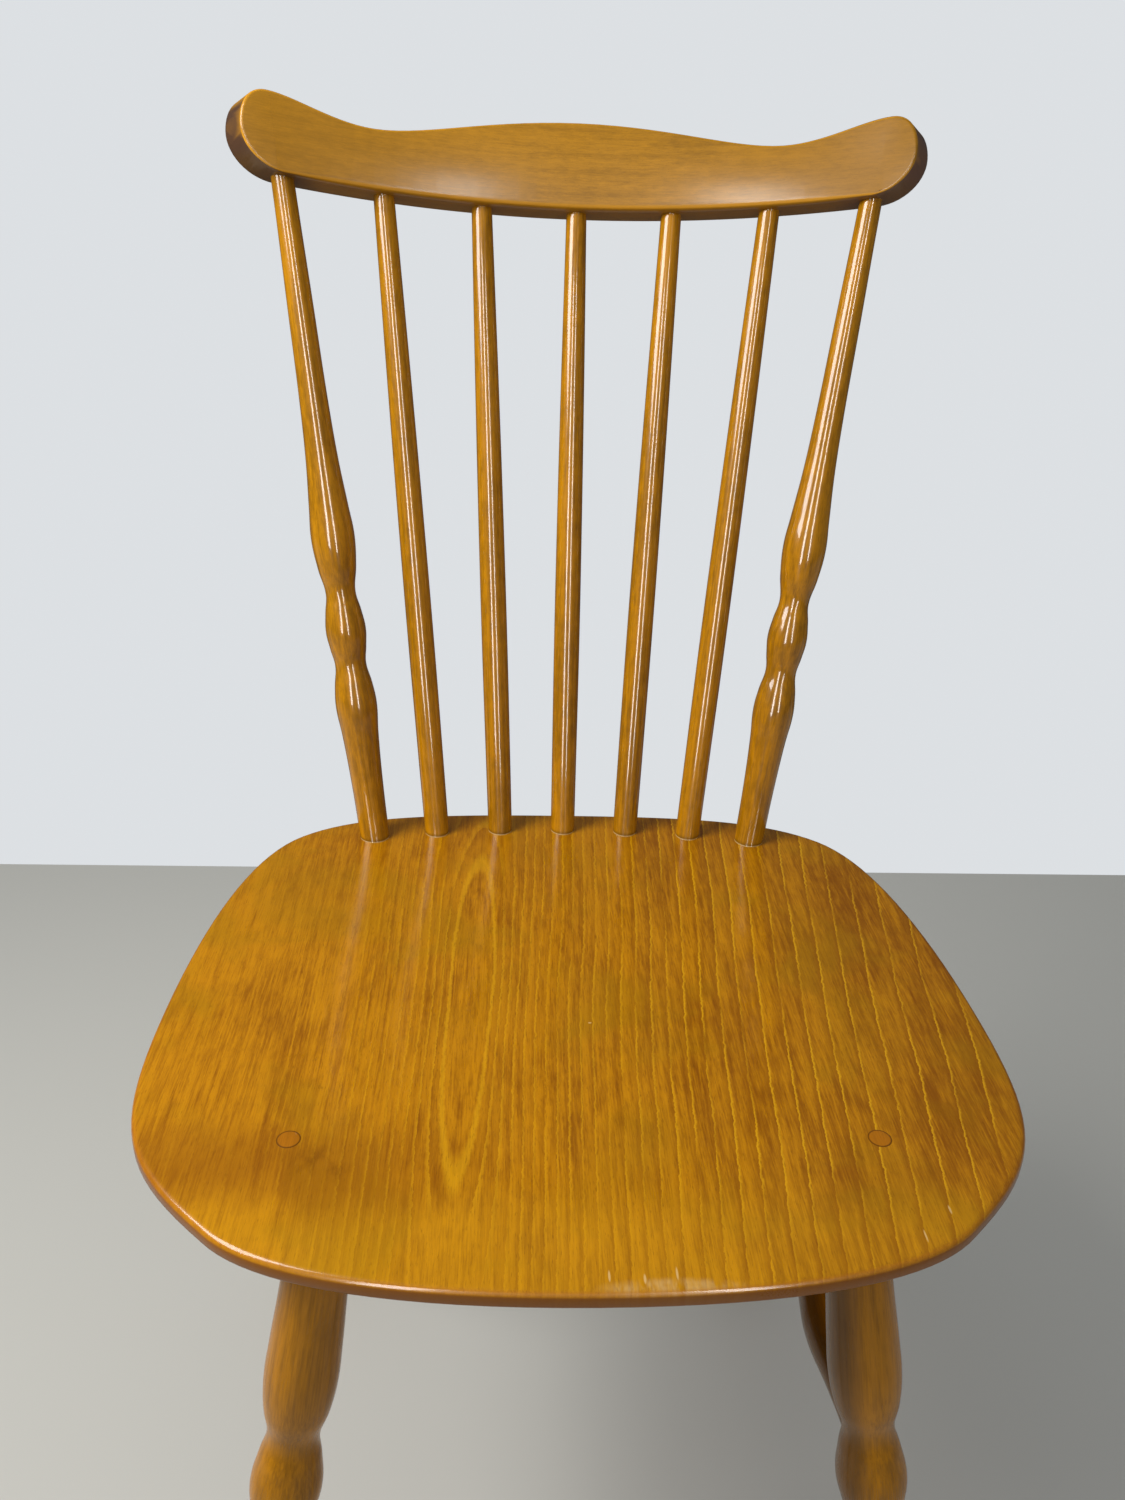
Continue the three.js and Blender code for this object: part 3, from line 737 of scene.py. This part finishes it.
class CHAIR_OT_plugs(bpy.types.Operator):
    """Makes the two round plugs in the seat, and copies one to the other side"""
    bl_idname = "chair.plugs"
    bl_label = "Seat plugs"

    def execute(self, context):
        low, high = (Vector(corner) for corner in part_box("seat_plug_left"))
        middle = (low + high) / 2
        radius = (high.y - low.y) / 2
        proud, rounding = 0.12 * MM, 0.35 * MM
        deselect_objects()
        bpy.ops.mesh.primitive_circle_add(vertices=40, radius=radius, fill_type="NGON",
                                          location=(middle.x, middle.y, low.z))
        piece = context.object
        set_mode("EDIT")
        bpy.ops.mesh.select_all(action="SELECT")
        rise = high.z - low.z
        bpy.ops.mesh.extrude_region_move(TRANSFORM_OT_translate={"value": (0, 0, rise)})
        bpy.ops.mesh.inset(thickness=rounding, depth=proud)
        bpy.ops.mesh.inset(thickness=radius * 0.5, depth=0)
        bpy.ops.mesh.select_all(action="SELECT")
        bpy.ops.mesh.normals_make_consistent(inside=False)
        twin = copy_of(piece)
        twin.location.x = -middle.x
        wood = ready("plug_beech", lambda: self.wood(middle, radius))
        for plug, side in ((piece, "left"), (twin, "right")):
            finish_piece(plug, f"plug_{side}", f"seat_plug_{side}", wood)
        return {"FINISHED"}

    def wood(self, middle, radius):
        """Redder wood than the seat's, with a dark rim."""
        finish = Finish("plug_beech")
        place = finish.place()
        x, y, z = finish.parts(place)
        fine, flecks, patches = beech_fibres(finish, x, z, y)
        red, green, blue = bpy.context.scene.chair_seat.wood
        base = (red * 0.8, green * 0.66, blue)
        body = finish.smooth(fine + (patches - 0.5), 0.2, 0.9)
        tone = finish.mix(body, base, scale_colour(base, 0.75))
        tone = finish.mix(flecks * 0.4, tone, scale_colour(base, 0.5))
        out = ((finish.size_of(x) + middle.x) ** 2.0 + (y - middle.y) ** 2.0) ** 0.5
        rim = finish.smooth(out, radius * 0.82, radius * 0.93)
        tone = finish.mix(rim * 0.9, tone, scale_colour(base, 0.3))
        roughness, normal = varnish_surface(finish, place, fine, 0.33)
        return finish.varnish(tone, roughness, normal)


class CHAIR_OT_rail(bpy.types.Operator):
    """Draws the crest rail flat, rounds its edges, bends it and leans it back"""
    bl_idname = "chair.rail"
    bl_label = "Crest rail"

    def execute(self, context):
        settings = context.scene.chair_back
        face = settings.bend - settings.thickness / 2

        def at(x, height):
            along_bend = settings.bend * math.asin(x * MM / face)
            return Vector((along_bend, -settings.thickness / 2, height * MM))
        hump, waist, ear = (value / MM for value in (settings.hump, settings.waist, settings.ear))
        half_outline = [
            (at(0, 0), at(-58, 0), at(58, 0)),
            (at(172, 2.6), at(115, 0.9), at(185, 3.4)),
            (at(195.2, 26.5), at(195.2, 14), at(195.2, 38)),
            (at(181.5, ear), at(190.5, ear), at(166, ear)),
            (at(123, waist), at(146, waist), at(94, waist)),
            (at(0, hump), at(56, hump), at(-56, hump)),
        ]
        piece = draw_outline("crest", mirrored(half_outline))
        mesh_from_curve(piece, 14)
        bpy.ops.mesh.edge_face_add()
        thickness = settings.thickness
        bpy.ops.mesh.extrude_region_move(TRANSFORM_OT_translate={"value": (0, thickness, 0)})
        bpy.ops.transform.resize(value=(RAIL_FLARE, 1, 1), center_override=(0, 0, 0))
        bpy.ops.mesh.select_all(action="SELECT")
        bpy.ops.mesh.normals_make_consistent(inside=False)
        self.round_edges(piece, settings)
        self.slice_upright(piece, 72)
        self.bend_and_lean(piece, settings)
        wood = rail_wood(tuple(settings.rail_wood), tuple(settings.rail_end))
        finish_piece(piece, "crest", "crest_rail", wood, math.radians(40))
        return {"FINISHED"}

    def round_edges(self, piece, settings):
        """Rounds the outline on both faces, most of all along the front's lower edge."""
        set_mode("OBJECT")
        points = [vertex.co.copy() for vertex in piece.data.vertices]
        share = settings.arris / settings.lower_arris
        weights = [self.rounding_of(*(points[i] for i in edge.vertices), share)
                   for edge in piece.data.edges]
        layer = piece.data.attributes.new("bevel_weight_edge", "FLOAT", "EDGE")
        layer.data.foreach_set("value", weights)
        rounding = piece.modifiers.new("rounding", "BEVEL")
        rounding.limit_method = "WEIGHT"
        rounding.width = settings.lower_arris
        rounding.segments = 5
        rounding.use_clamp_overlap = False
        bpy.ops.object.modifier_apply(modifier=rounding.name)

    def rounding_of(self, first, second, share):
        """None for an edge from face to face, all low on the front's middle, and a share elsewhere."""
        if abs(first.y - second.y) >= SAME:
            return 0.0
        if first.y > 0 or max(first.z, second.z) >= 12 * MM:
            return share
        ends_at, fades_over = 140 * MM, 50 * MM
        past = (abs(first.x + second.x) / 2 - ends_at) / fades_over
        return share + (1 - share) * (1 - min(max(past, 0.0), 1.0))

    def slice_upright(self, piece, slices):
        """Cuts the flat rail across, closest together towards its ends, so that it bends smoothly."""
        reach = max(vertex.co.x for vertex in piece.data.vertices)
        set_mode("EDIT")
        for i in range(1, slices):
            place = reach * math.sin(math.pi * (i / slices - 0.5))
            bpy.ops.mesh.select_all(action="SELECT")
            bpy.ops.mesh.bisect(plane_co=(place, 0, 0), plane_no=(1, 0, 0))
        set_mode("OBJECT")

    def bend_and_lean(self, piece, settings):
        keep_grain(piece, [vertex.co.copy() for vertex in piece.data.vertices])
        across = [vertex.co.x for vertex in piece.data.vertices]
        bending = piece.modifiers.new("bend", "SIMPLE_DEFORM")
        bending.deform_method = "BEND"
        bending.deform_axis = "Z"
        bending.angle = -(max(across) - min(across)) / settings.bend
        bpy.ops.object.modifier_apply(modifier=bending.name)
        lean = Matrix.Rotation(-settings.rake, 4, "X")
        foot = Vector((0, SEAT_HIGH.y - settings.row_inset, SEAT_TOP))
        up = lean.to_3x3() @ Vector((0, 0, 1))
        piece.matrix_world = Matrix.Translation(foot + up * settings.spindle) @ lean


def turned_set(context, outline, tip, nodes, pieces, first_number):
    """Turns one spindle or post, and lays a copy of it along each of the nodes' axes."""
    settings = context.scene.chair_back
    axes = [axis_of(node) for node in nodes]
    own = (axes[0][1] - axes[0][0]).length
    foot, shoulder = settings.seat_socket, own - settings.rail_socket
    lower = [(0, outline[0][1] * MM)]
    rings = [(foot + distance * MM, radius * MM) for distance, radius in outline]
    upper = [(shoulder, tip), (own, tip)]
    master = turn("turning", lower + rings + upper)
    for number, (node, piece, (start, end)) in enumerate(zip(nodes, pieces, axes)):
        made = copy_of(master)
        lay_along(made, start, end, own, first_number + number)
        finish_piece(made, piece, node, turned_finish())
    bpy.data.objects.remove(master)


class CHAIR_OT_spindles(bpy.types.Operator):
    """Turns a plain spindle and copies it along the back"""
    bl_idname = "chair.spindles"
    bl_label = "Spindles"

    def execute(self, context):
        nodes = [f"spindle_{i}" for i in range(1, 6)]
        pieces = [f"back_spindle_{i}" for i in range(1, 6)]
        turned_set(context, SPINDLE_OUTLINE, context.scene.chair_back.spindle_tip, nodes, pieces, 1)
        return {"FINISHED"}


class CHAIR_OT_posts(bpy.types.Operator):
    """Turns a beaded post and copies it to both ends of the row"""
    bl_idname = "chair.posts"
    bl_label = "Posts"

    def execute(self, context):
        nodes = ["post_left", "post_right"]
        pieces = ["back_post_left", "back_post_right"]
        turned_set(context, POST_OUTLINE, context.scene.chair_back.post_tip, nodes, pieces, 8)
        return {"FINISHED"}


class CHAIR_OT_legs(bpy.types.Operator):
    """Turns a leg for each pair, copies it to both corners and cuts the feet level with the floor"""
    bl_idname = "chair.legs"
    bl_label = "Legs"

    def execute(self, context):
        settings = context.scene.chair_legs
        past = 12 * MM  # what the level cut takes off
        rings = [(settings.socket + distance * MM, radius * MM) for distance, radius in LEG_OUTLINE]
        for pair, end in enumerate(("front", "rear")):
            corners = [f"{end}_{side}" for side in ("left", "right")]
            axes = [axis_of(f"leg_{corner}", on_floor=True) for corner in corners]
            own = (axes[0][0] - axes[0][1]).length
            master = turn("leg", [(0, LEG_OUTLINE[0][1] * MM), *rings, (own + past, settings.foot)])
            for side, (corner, (foot, top)) in enumerate(zip(corners, axes)):
                made = copy_of(master)
                lay_along(made, top, foot, own, 11 + 2 * pair + side)
                self.cut_foot(made)
                finish_piece(made, f"turned_leg_{corner}", f"leg_{corner}", leg_finish())
            bpy.data.objects.remove(master)
        return {"FINISHED"}

    def cut_foot(self, piece):
        """Cuts a leg level at the floor and takes the corner off its foot."""
        select_only(piece)
        bpy.ops.object.transform_apply(location=True, rotation=True, scale=True)
        set_mode("EDIT")
        bpy.ops.mesh.select_all(action="SELECT")
        bpy.ops.mesh.bisect(plane_co=(0, 0, 0), plane_no=(0, 0, -1), clear_outer=True, use_fill=True)
        bpy.ops.mesh.bevel(offset=0.6 * MM, segments=2, affect="EDGES")
        set_mode("OBJECT")


class CHAIR_OT_stretchers(bpy.types.Operator):
    """Turns the two side stretchers and the cross stretcher between them"""
    bl_idname = "chair.stretchers"
    bl_label = "Stretchers"

    def execute(self, context):
        settings = context.scene.chair_legs
        axes = {node: axis_of(node) for node in
                ("side_stretcher_left", "side_stretcher_right", "cross_stretcher")}
        start, end = axes["side_stretcher_left"]
        own = (end - start).length
        half = [
            (0, settings.stretcher_end), (18 * MM, settings.stretcher_end + 0.3 * MM),
            (40 * MM, 10 * MM), (70 * MM, settings.stretcher_swell), (94 * MM, 12.4 * MM),
            (own / 2 - 28 * MM, settings.stretcher_waist),
        ]
        side = self.both_ways(half, own, settings.stretcher_ball)
        master = turn("side_bar", side)
        for number, name in enumerate(("left", "right")):
            made = copy_of(master)
            lay_along(made, *axes[f"side_stretcher_{name}"], own, 16 + number)
            finish_piece(made, f"side_bar_{name}", f"side_stretcher_{name}", leg_finish())
        bpy.data.objects.remove(master)

        start, end = axes["cross_stretcher"]
        own = (end - start).length
        half = [(0, settings.cross_end), (16 * MM, settings.cross_end + 0.4 * MM), (66 * MM, 11.4 * MM)]
        made = turn("cross_bar", self.both_ways(half, own, settings.cross_swell))
        lay_along(made, start, end, own, 19)
        finish_piece(made, "cross_bar", "cross_stretcher", leg_finish())
        return {"FINISHED"}

    def both_ways(self, half, own, middle):
        """A whole outline from one half's, with its middle radius."""
        return [*half, (own / 2, middle), *((own - distance, radius) for distance, radius in half[::-1])]


class CHAIR_OT_stage(bpy.types.Operator):
    """Adds the floor, the soft lights and the camera"""
    bl_idname = "chair.stage"
    bl_label = "Floor, lights and camera"

    def execute(self, context):
        settings = context.scene.chair_stage
        deselect_objects()
        width, front, back, below = 8, -4, 0.86, 0.5 * MM
        bpy.ops.mesh.primitive_plane_add(size=1, location=(0, (front + back) / 2, -below))
        floor = context.object
        floor.name = "floor"
        floor.scale = (width, back - front, 1)
        bpy.ops.object.transform_apply(location=True, rotation=True, scale=True)
        finish = Finish("pale_floor")
        shader = finish.value("ShaderNodeBsdfPrincipled", inputs={
            "Base Color": (*settings.floor, 1.0), "Roughness": 0.5})
        finish.node("ShaderNodeOutputMaterial", inputs={0: shader})
        floor.data.materials.append(finish.material)
        self.add_world(context, settings)
        white, warm = (1.0, 0.99, 0.97), (1.0, 0.97, 0.93)
        self.add_light("overhead", (-0.85, -0.27, 1.37), (0.65, 0.65), 15.5, white)
        self.add_light("strip_left", (-0.6, -1.7, 1.25), (0.3, 1.25), 19, warm, lights_up=False)
        self.add_light("strip_right", (0.6, -1.7, 1.25), (0.2, 1.25), 13, warm, lights_up=False)
        self.add_camera(context, settings)
        return {"FINISHED"}

    def add_world(self, context, settings):
        """Pale all round, dimmer as a light and dimmer still where varnish mirrors it."""
        world = bpy.data.worlds.new("studio")
        world.use_nodes = True
        tree = world.node_tree
        background = tree.nodes["Background"]
        background.inputs["Color"].default_value = (*settings.wall, 1.0)
        rays = tree.nodes.new("ShaderNodeLightPath")
        seen = tree.nodes.new("ShaderNodeMapRange")
        seen.inputs["To Min"].default_value = settings.fill
        seen.inputs["To Max"].default_value = 1.0
        mirrored_part = tree.nodes.new("ShaderNodeMix")
        mirrored_part.inputs[3].default_value = settings.mirrored
        tree.links.new(rays.outputs["Is Camera Ray"], seen.inputs["Value"])
        tree.links.new(seen.outputs[0], mirrored_part.inputs[2])
        tree.links.new(rays.outputs["Is Glossy Ray"], mirrored_part.inputs[0])
        tree.links.new(mirrored_part.outputs[0], background.inputs["Strength"])
        context.scene.world = world

    def add_light(self, name, place, size, power, tint, lights_up=True):
        """A rectangular lamp that faces the chair; one that doesn't light it up is only mirrored."""
        aim = Vector((0, 0, 0.5))
        bpy.ops.object.light_add(type="AREA", location=place)
        lamp = bpy.context.object
        lamp.name = lamp.data.name = name
        lamp.data.shape = "RECTANGLE"
        lamp.data.size, lamp.data.size_y = size
        lamp.data.energy = power
        lamp.data.color = tint
        lamp.visible_diffuse = lights_up
        lamp.rotation_euler = (aim - Vector(place)).to_track_quat("-Z", "Y").to_euler()

    def add_camera(self, context, settings):
        bpy.ops.object.camera_add(location=settings.camera_place, rotation=settings.camera_turn)
        camera = context.object
        camera.data.lens = settings.lens
        camera.data.sensor_width = 36
        camera.data.clip_start = 0.01
        context.scene.camera = camera
        context.scene.view_settings.view_transform = "Standard"


class CHAIR_PT_panel(bpy.types.Panel):
    """Lists the chair's sizes and colours and the steps that build it"""
    bl_idname = "CHAIR_PT_panel"
    bl_label = "Spindle-back Chair"
    bl_space_type = "VIEW_3D"
    bl_region_type = "UI"
    bl_category = "Chair"

    def draw(self, context):
        for name, group in SETTINGS.items():
            settings = getattr(context.scene, name)
            box = self.layout.box()
            for key in group.__annotations__:
                box.prop(settings, key)
        for step in STEPS:
            self.layout.operator(step.bl_idname)


SETTINGS = {
    "chair_seat": SeatSettings,
    "chair_back": BackSettings,
    "chair_legs": LegSettings,
    "chair_stage": StageSettings,
}
STEPS = (
    CHAIR_OT_seat, CHAIR_OT_plugs, CHAIR_OT_rail, CHAIR_OT_spindles, CHAIR_OT_posts,
    CHAIR_OT_legs, CHAIR_OT_stretchers, CHAIR_OT_stage,
)
CLASSES = (*SETTINGS.values(), *STEPS, CHAIR_PT_panel)


def register():
    for item in CLASSES:
        bpy.utils.register_class(item)
    for name, group in SETTINGS.items():
        setattr(bpy.types.Scene, name, bpy.props.PointerProperty(type=group))


def unregister():
    for name in SETTINGS:
        delattr(bpy.types.Scene, name)
    for item in reversed(CLASSES):
        bpy.utils.unregister_class(item)


def main():
    register()
    for step in (bpy.ops.chair.seat, bpy.ops.chair.plugs, bpy.ops.chair.rail, bpy.ops.chair.spindles,
                 bpy.ops.chair.posts, bpy.ops.chair.legs, bpy.ops.chair.stretchers, bpy.ops.chair.stage):
        step()


if __name__ == "__main__":
    main()
